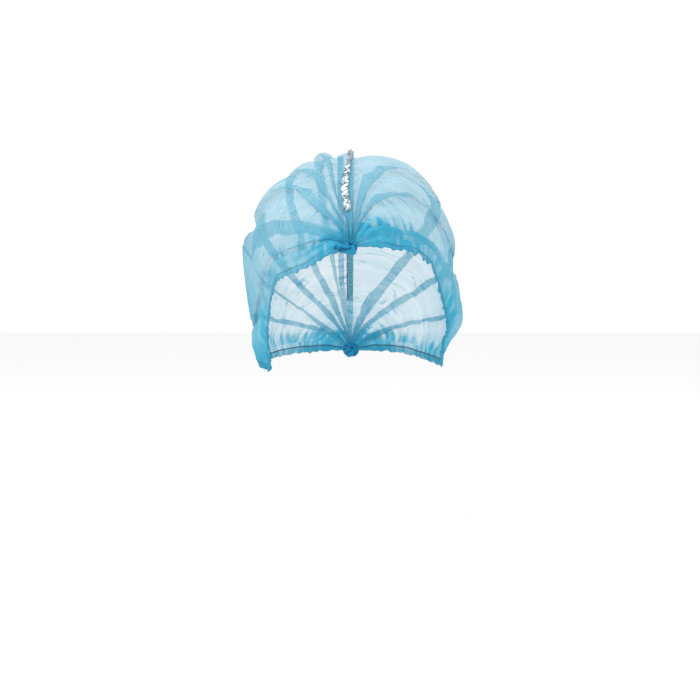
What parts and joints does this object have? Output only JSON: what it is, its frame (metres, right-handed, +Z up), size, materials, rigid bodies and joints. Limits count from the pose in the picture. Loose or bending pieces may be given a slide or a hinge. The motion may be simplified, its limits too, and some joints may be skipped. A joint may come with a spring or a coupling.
{
  "type": "disposable hairnet",
  "caption": "Disposable pleated nonwoven hair cover with gathered ends, ruffled elastic edge and a foil strip along the centre pleat, in its worn form.",
  "frame": {"origin": "where the crown of the head touches the underside of the cloth", "axes": "+Z up, -Y towards the face side, +X towards the wearer's left"},
  "size_m": [0.1707, 0.2083, 0.1704],
  "materials": {
    "nonwoven_cloth": "sheer sky-blue polypropylene spunbond, finely creased across the pleats",
    "edge_band": "the same cloth gathered dense along the elastic, with a ruffled edge",
    "elastic_thread": "thin covered elastic thread, dull blue",
    "foil": "bright aluminium foil with cross creases",
    "welded_ends": "pleat ends gathered and welded to a dense blue knot"
  },
  "bodies": {
    "root": {"crown_sheet": "nonwoven_cloth", "hem_left": "edge_band", "hem_right": "edge_band", "elastic_left": "elastic_thread", "elastic_right": "elastic_thread", "foil_strip": "foil", "front_knot": "welded_ends", "rear_knot": "welded_ends"}
  },
  "joints": []
}
